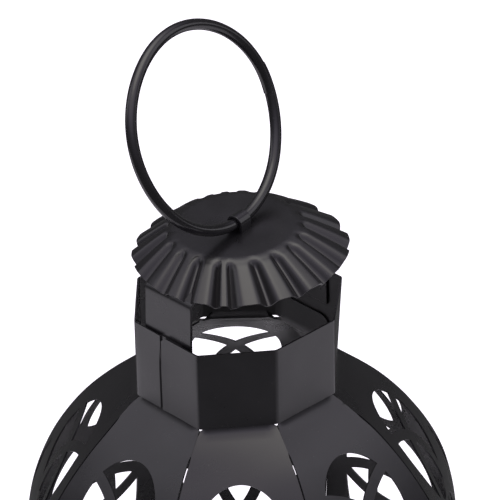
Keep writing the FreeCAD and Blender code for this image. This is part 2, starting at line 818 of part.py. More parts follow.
def make_pin():
    """Hinge pin with a small head at each end."""
    body = new_body("hinge_pin")
    outline = new_sketch(body, "pin_outline", "XZ_Plane")
    radius = size("pin_radius")
    half = size("hinge_height") / 2 + size("pin_slack")
    head = radius * 1.7
    rise = 0.7
    flat = head * 0.4
    shoulder = (head * 0.8, rise * 0.65)
    add_outline(outline, [
        (0, -half - rise), (flat, -half - rise),
        (head, -half, shoulder[0], -half - shoulder[1]), (radius, -half), (radius, half),
        (head, half), (flat, half + rise, shoulder[0], half + shoulder[1]),
        (0, half + rise)])
    revolve(body, outline)
    turn = math.radians(hinge_turn())
    body.Placement = Placement(Vector(hinge_axis() * math.cos(turn),
                                      hinge_axis() * math.sin(turn), EQUATOR), Rotation())
    return body


# ---------------------------------------------------------------- door latch

LATCH_CLEAR = 0.25
GRIP_HALF = 1.6       # the finger grip bent out of the lever's end
GRIP_RISE = 1.0


def latch_placement():
    return Placement(Vector(), Rotation(Vector(0, 0, 1), SIDE * DOOR))


def make_spindle():
    """Rivet through the door that carries the lever outside and the cam inside."""
    spindle = doc.addObject("Part::Feature", "latch_spindle")
    spindle.Label = "latch_spindle"
    face = -size("equator_flats") / 2
    radius = size("spindle_radius")
    leg = size("strap_gauge")
    outside = face - LATCH_CLEAR - leg
    shoulder = face + GAUGE + 0.2
    cam_face = face + size("cam_depth")
    cam_back = cam_face + leg
    spacer = radius * 1.5
    head_rise = 0.8
    tail_rise = 0.6
    profile = [(0, outside - head_rise), (radius * 1.1, outside - head_rise * 0.8),
               (radius * 1.7, outside), (radius, outside), (radius, shoulder),
               (spacer, shoulder), (spacer, cam_face), (radius, cam_face),
               (radius, cam_back), (spacer, cam_back), (radius * 1.2, cam_back + tail_rise),
               (0, cam_back + tail_rise)]
    points = [Vector(latch_u() + r, y, EQUATOR) for r, y in profile]
    outline = Part.Face(Part.makePolygon(points + points[:1]))
    shape = outline.revolve(Vector(latch_u(), 0, EQUATOR), Vector(0, 1, 0), 360)
    spindle.Shape = shape
    spindle.Placement = latch_placement()
    return spindle


def latch_arm(label, near, length, tip):
    """Flat arm hanging from the spindle, with a round end and an optional finger tip."""
    arm = new_body(label)
    outline = new_sketch(arm, label + "_outline", "XZ_Plane", "%g" % -near)
    half = size("lever_width") / 2
    u = latch_u()
    low_end = EQUATOR - length + half
    add_outline(outline, [
        (u + half, EQUATOR), (u - half, EQUATOR, u, EQUATOR + half), (u - half, low_end),
        (u + half, low_end, u, EQUATOR - length)])
    add_circle(outline, "Sizes.spindle_radius", u, EQUATOR)
    pad(arm, outline, "Sizes.strap_gauge")
    if tip:
        grip = new_sketch(arm, label + "_grip", "XZ_Plane", "%g" % -near)
        low = EQUATOR - length + GRIP_RISE
        high = low + size("strap_gauge")
        add_outline(grip, [(u - GRIP_HALF, low), (u + GRIP_HALF, low),
                           (u + GRIP_HALF, high), (u - GRIP_HALF, high)])
        pad(arm, grip, "Sizes.grip_reach")
    arm.Placement = latch_placement()
    return arm


def make_latch():
    face = -size("equator_flats") / 2
    make_spindle()
    # XZ sketches look along -Y, so a lift of -y puts the sketch at y and pads outward.
    latch_arm("latch_lever", face - LATCH_CLEAR, size("lever_length"), True)
    latch_arm("latch_cam", face + size("cam_depth") + size("strap_gauge"),
              size("cam_length"), False)


# ---------------------------------------------------------------- build and write

make_panels()
make_collar()
make_foot()
make_base_pan()
make_cup()
make_cup_rivet()
make_cap()
make_bracket()
make_ring()
make_clip()
middle_half = size("hinge_height") / 2 / 2.6
end_start = middle_half + size("knuckle_gap")
make_leaf("hinge_leaf_fixed", -1, [(-size("hinge_height") / 2, -end_start),
                                   (end_start, size("hinge_height") / 2)])
make_leaf("hinge_leaf_door", 1, [(-middle_half, middle_half)])
make_pin()
make_latch()
doc.recompute()

NODES = PANELS + [
    "neck_collar", "foot_band", "base_plate", "candle_cup", "cup_rivet", "fluted_cap",
    "cap_bracket", "hanging_ring", "ring_clip", "hinge_leaf_fixed", "hinge_leaf_door",
    "hinge_pin", "latch_spindle", "latch_lever", "latch_cam"]

for obj in doc.Objects:
    if "Invalid" in obj.State or "Error" in obj.State:
        raise RuntimeError("%s failed: %s" % (obj.Name, obj.State))

os.makedirs("parts", exist_ok=True)
for label in NODES:
    node = doc.getObjectsByLabel(label)[0]
    shape = node.Shape
    if shape.isNull() or not shape.isValid() or not shape.Solids:
        raise RuntimeError(label + " has no valid solid")
    shape.exportStep("parts/%s.step" % label)
    print("%-20s solids %d volume %8.1f" % (label, len(shape.Solids), shape.Volume))
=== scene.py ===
"""Octagonal pierced-metal lantern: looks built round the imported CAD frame.

Lengths are in millimetres until a mesh is made. The front panel faces -Y.
"""
import math
import random

import bmesh
import bpy
from mathutils import Matrix, Vector, noise
from mathutils.geometry import delaunay_2d_cdt


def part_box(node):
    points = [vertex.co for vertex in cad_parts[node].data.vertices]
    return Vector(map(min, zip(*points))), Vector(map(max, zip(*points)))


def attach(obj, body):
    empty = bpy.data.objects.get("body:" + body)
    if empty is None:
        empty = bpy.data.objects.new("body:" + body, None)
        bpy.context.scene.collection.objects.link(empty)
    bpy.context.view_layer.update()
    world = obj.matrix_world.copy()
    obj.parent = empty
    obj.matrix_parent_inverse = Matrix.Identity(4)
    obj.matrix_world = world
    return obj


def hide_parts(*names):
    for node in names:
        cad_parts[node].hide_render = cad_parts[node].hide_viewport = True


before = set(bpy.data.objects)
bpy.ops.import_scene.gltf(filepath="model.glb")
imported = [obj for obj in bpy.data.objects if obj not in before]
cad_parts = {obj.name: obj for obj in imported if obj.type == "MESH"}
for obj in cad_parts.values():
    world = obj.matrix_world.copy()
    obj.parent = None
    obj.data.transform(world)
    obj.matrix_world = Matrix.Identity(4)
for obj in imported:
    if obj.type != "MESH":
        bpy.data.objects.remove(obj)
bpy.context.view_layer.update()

MM = 0.001


def box_mm(node):
    low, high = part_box(node)
    return low / MM, high / MM


# ------------------------------------------------------------ sizes

GAUGE = 0.5                      # sheet thickness
STRAP = 0.8                      # strap thickness
SIDES = 8
SIDE = 360 / SIDES               # degrees
TAN = math.tan(math.radians(SIDE / 2))
COS = math.cos(math.radians(SIDE / 2))

collar_low, collar_high = box_mm("neck_collar")
foot_low, foot_high = box_mm("foot_band")
panel_low, _ = box_mm("panel_front")
door_low, door_high = box_mm("door_panel")
pin_low, pin_high = box_mm("hinge_pin")
_, cap_high = box_mm("fluted_cap")
clip_low, clip_high = box_mm("ring_clip")

NECK_Z = collar_low.z
COLLAR_TOP = collar_high.z
COLLAR_HALF = (collar_high.y - collar_low.y) / 2
COLLAR_INSIDE = COLLAR_HALF - GAUGE
FOOT_HALF = (foot_high.y - foot_low.y) / 2
FOOT_INSIDE = FOOT_HALF - GAUGE
EQUATOR_HALF = -panel_low.y
EQUATOR = (pin_low.z + pin_high.z) / 2

PROFILE_R = 93.25                # arc that the panels are bent to
INSET = PROFILE_R - EQUATOR_HALF


def arc_height(apothem):
    """Height above the equator where the panel arc passes that far from the axis."""
    return math.sqrt(PROFILE_R ** 2 - (apothem + INSET) ** 2)


NECK_ARC = PROFILE_R * math.asin((NECK_Z - EQUATOR) / PROFILE_R)
GORE_TOP = EQUATOR + arc_height(COLLAR_INSIDE)
GORE_FOOT = EQUATOR - arc_height(FOOT_INSIDE)
TOP_FOLD = NECK_ARC - PROFILE_R * math.asin((GORE_TOP - EQUATOR) / PROFILE_R)
FOOT_FOLD = NECK_ARC + PROFILE_R * math.asin((EQUATOR - GORE_FOOT) / PROFILE_R)
TAB_HALF = 8.5
TAB_ROOT = 11.0                  # half of a tab's width at its fold
TAB_LENGTH = 9.5
TAB_CORNER = 3.0
SLIT = 0.6                       # gap between two panels
EAR = 7.4                        # length of closed joint at each end of a panel
EAR_SLIT = 0.06
EAR_STEP = 0.6                   # length over which the joint opens
RELIEF = 0.12                    # corner notch at each end of a joint

PANELS = ["panel_front", "panel_front_right", "panel_right", "panel_back_right",
          "panel_back", "door_panel", "panel_left", "panel_front_left"]
HINGED = ("panel_back", "door_panel", "panel_left")
PANEL_LIFT = {"panel_back": 1.0}            # extra bulge of a panel, mid-way up
HOLE_SHIFT = {"panel_back": (1.0, 0.0), "panel_right": (0.0, -2.0),
              "panel_front_right": (0.0, -0.9)}     # pierced pattern off its place

# The collar was closed by hand round the panel tops, so its corners are off a true octagon.
CORNER_SHIFT = [(-0.5, 0.7), (0.4, -0.8), (-1.1, 1.25), (-1.2, -0.5),
                (1.5, -1.6), (-0.4, 0.5), (1.2, 0.3), (0.0, 0.0)]
FIRST_CORNER = -157.5            # direction of the first of them, anticlockwise from there
FOOT_SHARE = [1.0, 1.0, 1.0, 1.0, 0.1, 1.0, 1.0, 1.0]   # part of it at the collar's foot


# ------------------------------------------------------------ materials

def nodes_of(material):
    material.use_nodes = True
    tree = material.node_tree
    shader = tree.nodes["Principled BSDF"]
    return tree, shader


def texture(tree, kind, scale, **settings):
    """Texture on object coordinates, with its scale given in features per metre."""
    place = tree.nodes.new("ShaderNodeTexCoord")
    node = tree.nodes.new(kind)
    tree.links.new(place.outputs["Object"], node.inputs["Vector"])
    node.inputs["Scale"].default_value = scale
    for name, value in settings.items():
        node.inputs[name].default_value = value
    return node


def ramp(tree, source, stops):
    node = tree.nodes.new("ShaderNodeValToRGB")
    elements = node.color_ramp.elements
    while len(elements) < len(stops):
        elements.new(0.5)
    for element, (place, colour) in zip(elements, stops):
        element.position = place
        element.color = (*colour, 1) if len(colour) == 3 else colour
    tree.links.new(source, node.inputs["Fac"])
    return node


def grey(value):
    return (value, value, value)


def bump(tree, height, strength, distance, base=None):
    node = tree.nodes.new("ShaderNodeBump")
    node.inputs["Strength"].default_value = strength
    node.inputs["Distance"].default_value = distance
    tree.links.new(height, node.inputs["Height"])
    if base is not None:
        tree.links.new(base.outputs["Normal"], node.inputs["Normal"])
    return node


def black_paint(name, low_gloss, high_gloss, colour, speck):
    """Sprayed black enamel: soft gloss, fine orange peel, dust nibs and faint smears."""
    material = bpy.data.materials.new(name)
    tree, shader = nodes_of(material)
    smear = texture(tree, "ShaderNodeTexNoise", 45, Detail=5.0, Roughness=0.62, Distortion=0.6)
    dust = texture(tree, "ShaderNodeTexVoronoi", 420, Randomness=1.0)
    peel = texture(tree, "ShaderNodeTexNoise", 950, Detail=2.0, Roughness=0.5)
    wave = texture(tree, "ShaderNodeTexNoise", 70, Detail=1.5, Roughness=0.4)
    gloss = ramp(tree, smear.outputs["Fac"], [(0.3, grey(low_gloss)), (0.72, grey(high_gloss))])
    tree.links.new(gloss.outputs["Color"], shader.inputs["Roughness"])
    tint = ramp(tree, smear.outputs["Fac"],
                [(0.25, colour), (0.6, tuple(c * 1.35 for c in colour)),
                 (0.85, tuple(c * 1.9 for c in colour))])
    nib = ramp(tree, dust.outputs["Distance"], [(0.0, grey(1)), (0.085, grey(0))])
    mix = tree.nodes.new("ShaderNodeMix")
    mix.data_type = "RGBA"
    tree.links.new(nib.outputs["Color"], mix.inputs["Factor"])
    tree.links.new(tint.outputs["Color"], mix.inputs["A"])
    mix.inputs["B"].default_value = (*grey(speck), 1)
    tree.links.new(mix.outputs["Result"], shader.inputs["Base Color"])
    broad = bump(tree, wave.outputs["Fac"], 0.25, 0.0004)
    fine = bump(tree, peel.outputs["Fac"], 0.12, 0.00005, broad)
    nibs = bump(tree, nib.outputs["Color"], 0.3, 0.00006, fine)
    tree.links.new(nibs.outputs["Normal"], shader.inputs["Normal"])
    shader.inputs["Specular IOR Level"].default_value = 0.5
    shader.inputs["IOR"].default_value = 1.4
    return material


SHEET_PAINT = black_paint("black_sheet_paint", 0.24, 0.36, (0.0042, 0.0040, 0.0046), 0.03)
WIRE_PAINT = black_paint("black_wire_paint", 0.13, 0.22, (0.0042, 0.0040, 0.0046), 0.02)


# ------------------------------------------------------------ mesh helpers

def add_object(name, points, faces, material, smooth=True):
    """Object from points in millimetres."""
    mesh = bpy.data.meshes.new(name)
    mesh.from_pydata([Vector(p) * MM for p in points], [], faces)
    mesh.validate()
    piece = bpy.data.objects.new(name, mesh)
    bpy.context.scene.collection.objects.link(piece)
    mesh.materials.append(material)
    if smooth:
        mesh.shade_smooth()
    return piece


def orient(piece, outward):
    """Make the normals agree and point the way outward(centre, normal) says."""
    bm = bmesh.new()
    bm.from_mesh(piece.data)
    bmesh.ops.recalc_face_normals(bm, faces=bm.faces)
    score = sum(outward(f.calc_center_median() / MM, f.normal) * f.calc_area() for f in bm.faces)
    if score < 0:
        bmesh.ops.reverse_faces(bm, faces=bm.faces)
    bm.to_mesh(piece.data)
    bm.free()


def from_axis(centre, normal):
    return centre.x * normal.x + centre.y * normal.y + 0.3 * normal.z


def thicken(piece, thickness, edge):
    """Give a sheet its thickness, inward, and soften its cut edges."""
    solid = piece.modifiers.new("thickness", "SOLIDIFY")
    solid.thickness = thickness * MM
    solid.offset = -1
    solid.use_even_offset = True
    soften(piece, edge, 60)


def soften(piece, width, angle, segments=2):
    bevel = piece.modifiers.new("edges", "BEVEL")
    bevel.width = width * MM
    bevel.segments = segments
    bevel.limit_method = "ANGLE"
    bevel.angle_limit = math.radians(angle)
    bevel.harden_normals = True


def keep(piece, body, slot, *nodes):
    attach(piece, body)
    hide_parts(*nodes)


def turned(point, degrees):
    a = math.radians(degrees)
    return Vector((point[0] * math.cos(a) - point[1] * math.sin(a),
                   point[0] * math.sin(a) + point[1] * math.cos(a), point[2]))


def ease(value, start, end):
    t = min(1.0, max(0.0, (value - start) / (end - start)))
    return t * t * (3 - 2 * t)


def collar_shift(point):
    """How far the hand-closed collar carries a point sideways, fading out below it."""
    turn = (math.degrees(math.atan2(point.y, point.x)) - FIRST_CORNER) / SIDE % SIDES
    corner = int(turn)
    share = turn - corner
    following = (corner + 1) % SIDES
    up = min(1.0, max(0.0, (point.z - NECK_Z) / (COLLAR_TOP - NECK_Z)))
    shifts = []
    for index in (corner, following):
        foot = FOOT_SHARE[index]
        shifts.append(Vector((*CORNER_SHIFT[index], 0)) * (foot + (1 - foot) * up))
    return ease(point.z, NECK_Z - 11, NECK_Z - 0.5) * shifts[0].lerp(shifts[1], share)


def arc_through(a, b, c, count):
    """Points after a on the arc through b that ends at c, in the plane."""
    ax, ay, bx, by, cx, cy = *a, *b, *c
    d = 2 * (ax * (by - cy) + bx * (cy - ay) + cx * (ay - by))
    ux = ((ax * ax + ay * ay) * (by - cy) + (bx * bx + by * by) * (cy - ay)
          + (cx * cx + cy * cy) * (ay - by)) / d
    uy = ((ax * ax + ay * ay) * (cx - bx) + (bx * bx + by * by) * (ax - cx)
          + (cx * cx + cy * cy) * (bx - ax)) / d
    radius = math.hypot(ax - ux, ay - uy)
    start = math.atan2(ay - uy, ax - ux)
    swing = [(math.atan2(y - uy, x - ux) - start) % (2 * math.pi) for x, y in (b, c)]
    if swing[0] > swing[1]:
        swing = [w - 2 * math.pi for w in swing]
    return [(ux + radius * math.cos(start + swing[1] * i / count),
             uy + radius * math.sin(start + swing[1] * i / count))
            for i in range(1, count + 1)]


# ------------------------------------------------------------ pierced panels

BAR_RADIUS = 31.2
BAR_SIDE = 23.7
BAR_WIDTH = 3.4


def crossing_bars(lift):
    """Centres and radii of two upright bars that cross above and below a height."""
    return [(side * BAR_SIDE, lift, BAR_RADIUS) for side in (-1, 1)]


OVAL = {"centre": 37.3, "half_width": 13.6, "half_length": 20.1,
        "bars": crossing_bars(37.3 - 54.6)}
MEDALLION = {"centre": NECK_ARC, "half_width": 18.4, "half_length": 26.4,
             "bars": crossing_bars(0.0) + [(0.0, -30.0, 36.0), (0.0, 30.0, 36.0)]}
EYELET_TOP = 45.5
EYELET_FOOT = 66.0
CURVE_STEP = 0.9                 # length of the short straights in a curve
MESH_STEP = 2.2                  # spacing of the points inside a panel


def half_width(s):
    """Half of a panel's width where its metal is s from the neck."""
    reach = PROFILE_R * math.cos((NECK_ARC - s) / PROFILE_R) - INSET
    ear = ease(s, TOP_FOLD + EAR, TOP_FOLD + EAR + EAR_STEP)
    ear *= 1 - ease(s, FOOT_FOLD - EAR - EAR_STEP, FOOT_FOLD - EAR)
    slit = EAR_SLIT + (SLIT - EAR_SLIT) * ear
    return reach * TAN - slit / 2 / COS


def gore_edge(start, end):
    count = max(2, round(abs(end - start) / 1.6))
    return [(half_width(start + (end - start) * i / count), start + (end - start) * i / count)
            for i in range(count + 1)]


def tab_outline(fold, sign):
    """Right half of a tab beyond a fold; sign is -1 towards the neck."""
    free = fold + sign * TAB_LENGTH
    points = [(TAB_ROOT, fold), (TAB_HALF, fold + sign * 2.2)]
    for i in range(5):
        a = math.pi / 2 * i / 4
        points.append((TAB_HALF - TAB_CORNER * (1 - math.cos(a)),
                       free - sign * TAB_CORNER * (1 - math.sin(a))))
    return points


def relief(fold, sign):
    """Small notch where the joint meets the collar or the foot, from the fold outward."""
    middle = fold - sign * 0.9
    start = fold - sign * 1.7
    return [(half_width(fold) - RELIEF, fold), (half_width(middle) - RELIEF, middle),
            (half_width(start), start)]


def panel_outline():
    right = list(reversed(tab_outline(TOP_FOLD, -1)))
    right += relief(TOP_FOLD, -1)
    right += gore_edge(TOP_FOLD + 2.5, FOOT_FOLD - 2.5)
    right += list(reversed(relief(FOOT_FOLD, 1)))
    right += tab_outline(FOOT_FOLD, 1)
    return right + [(-u, s) for u, s in reversed(right)]


def door_outline():
    top = NECK_ARC - PROFILE_R * math.asin((door_high.z - EQUATOR) / PROFILE_R)
    foot = NECK_ARC + PROFILE_R * math.asin((EQUATOR - door_low.z) / PROFILE_R)
    right = gore_edge(top, foot)
    corner = 1.2
    right[0] = (right[0][0], top + corner)
    right[-1] = (right[-1][0], foot - corner)
    right = [(right[0][0] - corner, top)] + right + [(right[-1][0] - corner, foot)]
    return right + [(-u, s) for u, s in reversed(right)]


def local_height(s, centre):
    """Distance up the tangent plane at centre, where the holes were punched."""
    return PROFILE_R * math.sin((centre - s) / PROFILE_R)


def from_local(y, centre):
    return centre - PROFILE_R * math.asin(y / PROFILE_R)


def in_oval(u, y, oval, grow=1.0):
    return (u / oval["half_width"]) ** 2 + (y / oval["half_length"]) ** 2 < grow


def in_bars(u, y, oval):
    return any(abs(math.hypot(u - x, y - lift) - radius) < BAR_WIDTH / 2
               for x, lift, radius in oval["bars"])


def oval_curves(oval):
    """Polylines of an oval's edge and its bars, in its own tangent plane."""
    a, b = oval["half_width"], oval["half_length"]
    count = round(math.pi * (a + b) / CURVE_STEP)
    ring = [(a * math.sin(2 * math.pi * i / count), b * math.cos(2 * math.pi * i / count))
            for i in range(count)]
    curves = [ring + ring[:1]]
    for x, lift, middle in oval["bars"]:
        for radius in (middle - BAR_WIDTH / 2, middle + BAR_WIDTH / 2):
            count = round(2 * math.pi * radius / CURVE_STEP)
            circle = [(x + radius * math.cos(2 * math.pi * i / count),
                       lift + radius * math.sin(2 * math.pi * i / count))
                      for i in range(count + 1)]
            for first, second in zip(circle, circle[1:]):
                if in_oval(*first, oval) or in_oval(*second, oval):
                    curves.append([first, second])
    return curves


def eyelet_outline(side):
    half = (EYELET_FOOT - EYELET_TOP) / 2
    top, foot = (side * 18.7, half), (side * 23.3, -half)
    return (arc_through(top, (side * 22.3, 2.5), foot, 24)
            + arc_through(foot, (side * 19.9, 0.0), top, 24))


def inside(point, outline):
    x, y = point
    hit = False
    for (x0, y0), (x1, y1) in zip(outline, outline[1:] + outline[:1]):
        if (y0 > y) != (y1 > y) and x < (x1 - x0) * (y - y0) / (y1 - y0) + x0:
            hit = not hit
    return hit


def pattern_holes(shift_u, shift_s):
    """Every hole group as its curves in (u, s) and a test of whether a point is cut away."""
    groups = []
    for oval, mirrored in ((OVAL, False), (OVAL, True), (MEDALLION, False)):
        def place(u, y, oval=oval, mirrored=mirrored):
            s = from_local(y, oval["centre"])
            return (u + shift_u, (2 * NECK_ARC - s if mirrored else s) + shift_s)

        def cut(u, s, oval=oval, mirrored=mirrored):
            u, s = u - shift_u, s - shift_s
            s = 2 * NECK_ARC - s if mirrored else s
            if abs(s - oval["centre"]) > oval["half_length"] + 2:
                return False
            y = local_height(s, oval["centre"])
            return in_oval(u, y, oval) and not in_bars(u, y, oval)

        groups.append(([[place(*p) for p in curve] for curve in oval_curves(oval)], cut))
    middle = (EYELET_TOP + EYELET_FOOT) / 2
    for side in (-1, 1):
        for mirrored in (False, True):
            outline = []
            for u, y in eyelet_outline(side):
                s = from_local(y, middle)
                outline.append((u + shift_u, (2 * NECK_ARC - s if mirrored else s) + shift_s))
            groups.append(([outline + outline[:1]],
                           lambda u, s, outline=outline: inside((u, s), outline)))
    return groups


def flat_sheet(outline, groups):
    """Triangles of a flat panel blank with its holes cut out."""
    points = []
    edges = []

    def add_curve(curve):
        first = len(points)
        points.extend(curve)
        edges.extend((i, i + 1) for i in range(first, len(points) - 1))

    add_curve(outline + outline[:1])
    for curves, _ in groups:
        for curve in curves:
            add_curve(curve)
    low_s, high_s = min(s for _, s in outline), max(s for _, s in outline)
    wide = max(u for u, _ in outline)
    rows = round((high_s - low_s) / MESH_STEP)
    columns = round(2 * wide / MESH_STEP)
    for row in range(1, rows):
        for column in range(columns + 1):
            shift = 0.25 if row % 2 else -0.25
            u = wide * (2 * (column + shift) / columns - 1)
            s = low_s + (high_s - low_s) * row / rows
            if inside((u, s), outline):
                points.append((u, s))
    verts, _, faces, *_ = delaunay_2d_cdt([Vector(p) for p in points], edges, [], 0, 1e-4)
    kept = []
    for face in faces:
        u = sum(verts[i].x for i in face) / 3
        s = sum(verts[i].y for i in face) / 3
        if inside((u, s), outline) and not any(cut(u, s) for _, cut in groups):
            kept.append(list(face))
    used = sorted({i for face in kept for i in face})
    index = {old: new for new, old in enumerate(used)}
    return ([tuple(verts[i]) for i in used], [[index[i] for i in face] for face in kept])


def bend(u, s, lift):
    """Where a point of the flat blank goes on the front panel; lift is out of the metal."""
    if s < TOP_FOLD:
        return Vector((u, -COLLAR_INSIDE, GORE_TOP + TOP_FOLD - s))
    if s > FOOT_FOLD:
        return Vector((u, -FOOT_INSIDE, GORE_FOOT - (s - FOOT_FOLD)))
    rise = (NECK_ARC - s) / PROFILE_R
    radius = PROFILE_R + lift
    return Vector((u, INSET - radius * math.cos(rise), EQUATOR + radius * math.sin(rise)))


WIDE_DENT = 0.30                 # height of the broad waves in a panel
SMALL_DENT = 0.07
INWARD = 0.2                     # the waves lie this much inside the true curve
HINGE_REACH = 9                  # a hinged joint is left true this far from the equator


def dented(u, s, seed, node):
    """Unevenness of a hand-bent panel, none where it meets the collar, foot or hinge."""
    amount = ease(s, 1, 14) * (1 - ease(s, FOOT_FOLD - 14, FOOT_FOLD - 1))
    if node in HINGED:
        amount *= 1 - math.exp(-((s - NECK_ARC) / HINGE_REACH) ** 2)
    wide = noise.noise(Vector((u / 26, s / 34, seed * 7.3)))
    small = noise.noise(Vector((u / 9, s / 11, seed * 3.1 + 40)))
    upper = ease(s, 0, 9) * (1 - ease(s, 30, 70))
    return (amount * (WIDE_DENT * wide + SMALL_DENT * small - INWARD)
            + PANEL_LIFT.get(node, 0) * upper)


def make_panels():
    blanks = {}
    for k, node in enumerate(PANELS):
        is_door = node == "door_panel"
        shift = HOLE_SHIFT.get(node, (0.0, 0.0))
        if (is_door, shift) not in blanks:
            outline = door_outline() if is_door else panel_outline()
            blanks[is_door, shift] = flat_sheet(outline, pattern_holes(*shift))
        flat, faces = blanks[is_door, shift]
        points = [turned(bend(u, s, dented(u, s, k + 1, node)), SIDE * k) for u, s in flat]
        points = [p + collar_shift(p) for p in points]
        piece = add_object("pierced_" + node, points, faces, SHEET_PAINT)
        orient(piece, from_axis)
        thicken(piece, GAUGE, 0.16)
        keep(piece, "door" if is_door else "lantern", "sheet_paint", node)


# ------------------------------------------------------------ collar

SEAM = -COLLAR_HALF * TAN * 0.14         # sideways place of the seam on its face
LAP = 7.0                                # how far the inner end runs on behind
COLLAR_CORNER = 1.9
SEAM_SINK = GAUGE + 0.04                 # the inner end lies this far under the outer one
SEAM_GAP = 0.3                           # width of the groove beside the seam, at its top
SEAM_OPEN = 0.5                          # and how much wider it is lower down
NOTCH_DEPTH, NOTCH_WIDTH = 1.5, 1.3      # nick at the top of the outer end
LIFTED = 0.22                            # the outer end's free edge stands off by this
FACE_WAVE = 0.16


def collar_path():
    """(point, outward, distance from the outer end) round the collar's outer face."""
    face_half = COLLAR_HALF * TAN
    straight = face_half - COLLAR_CORNER * TAN
    path = []
    for k in range(-1, SIDES):
        stops = [SEAM if k == -1 else -straight, straight]
        if k == SIDES - 1:
            stops = [-straight, SEAM - 1.2, SEAM + 0.3, SEAM + LAP]
        places = [stops[0]]
        for first, last in zip(stops, stops[1:]):
            count = max(3, round((last - first) / (0.15 if last - first < 2 else 1.5)))
            places += [first + (last - first) * (i + 1) / count for i in range(count)]
        for x in places:
            path.append((turned((x, -COLLAR_HALF, 0), SIDE * k),
                         turned((0, -1, 0), SIDE * k), k, x))
        if k < SIDES - 1:
            centre = (straight, -COLLAR_HALF + COLLAR_CORNER)
            for i in range(1, 6):
                a = math.radians(SIDE * i / 6)
                way = (math.sin(a), -math.cos(a), 0)
                point = (centre[0] + COLLAR_CORNER * way[0],
                         centre[1] + COLLAR_CORNER * way[1], 0)
                path.append((turned(point, SIDE * k), turned(way, SIDE * k), k, None))
    return path


def make_collar():
    path = collar_path()
    last_face = SIDES - 1
    rows = 12
    height = COLLAR_TOP - NECK_Z
    points = []
    travelled = 0.0
    for index, (point, out, face, x) in enumerate(path):
        if index:
            travelled += (point - path[index - 1][0]).length
        for row in range(rows + 1):
            up = row / rows
            z = height * up
            if travelled < NOTCH_WIDTH and face == -1:
                z = min(z, height - NOTCH_DEPTH)
            offset = 0.0
            if face == last_face and x is not None:
                gap = SEAM_GAP + SEAM_OPEN * (1 - ease(up, 0.62, 0.8))
                offset = -SEAM_SINK * ease(x, SEAM - gap - 0.15, SEAM - gap + 0.15)
            if face == -1 and x is not None:
                offset = LIFTED * math.exp(-travelled / 1.4) * (1 - ease(up, 0.55, 0.75))
            if x is not None:
                across = x / (COLLAR_HALF * TAN)
                wobble = noise.noise(Vector((face * 5.1 + across, up * 1.6, 3.3)))
                offset += FACE_WAVE * wobble * (1 - across ** 4)
            place = point + out * offset + Vector((0, 0, NECK_Z + z))
            points.append(place + collar_shift(place))
    faces = []
    for i in range(len(path) - 1):
        for row in range(rows):
            a = i * (rows + 1) + row
            faces.append((a, a + rows + 1, a + rows + 2, a + 1))
    piece = add_object("collar_band", points, faces, SHEET_PAINT)
    bm = bmesh.new()
    bm.from_mesh(piece.data)
    bmesh.ops.dissolve_degenerate(bm, dist=1e-7, edges=bm.edges)
    bm.to_mesh(piece.data)
    bm.free()
    orient(piece, from_axis)
    thicken(piece, GAUGE, 0.12)
    keep(piece, "lantern", "sheet_paint", "neck_collar")


# ------------------------------------------------------------ cap

CAP_TOP = cap_high.z
CAP_X = (clip_low.x + clip_high.x) / 2
CAP_DISC = 17.8
DISC_SHIFT = (-1.3, 1.3)         # the flat disc is pressed off the middle of the rim
CAP_RIM = 29.9
CAP_DROP = 8.2
DISC_CROWN = 0.3                 # fall of the disc from its middle to its edge
DISC_SAG = 0.2                   # the thin disc lies this much below a true one
CAP_TILT = -2.3                  # degrees about Y: the right side sits higher
FLUTE_DEPTH = 1.6
# Directions of the valleys between the flutes, uneven as hand pressing leaves them.
VALLEYS = (16, 38, 57, 77, 92, 105, 117, 133, 153, 170, 186, 203, 220.5, 237.5, 256, 264,
           285.5, 304.5, 323, 341, 358.5)


def cap_tilt(point, weight=1.0):
    """The bracket under the cap is bent a little to one side, and the cap follows it."""
    pivot = Vector((CAP_X, 0, CAP_TOP))
    turn = Matrix.Rotation(math.radians(CAP_TILT) * weight, 4, "Y")
    return pivot + turn @ (point - pivot)


FRONT_SHORT = 1.9                # the skirt reaches less far out at the front
BACK_SHORT = 1.1                 # and at the back
DISC_DENT = 0.35
DISC_RIPPLE = 0.16


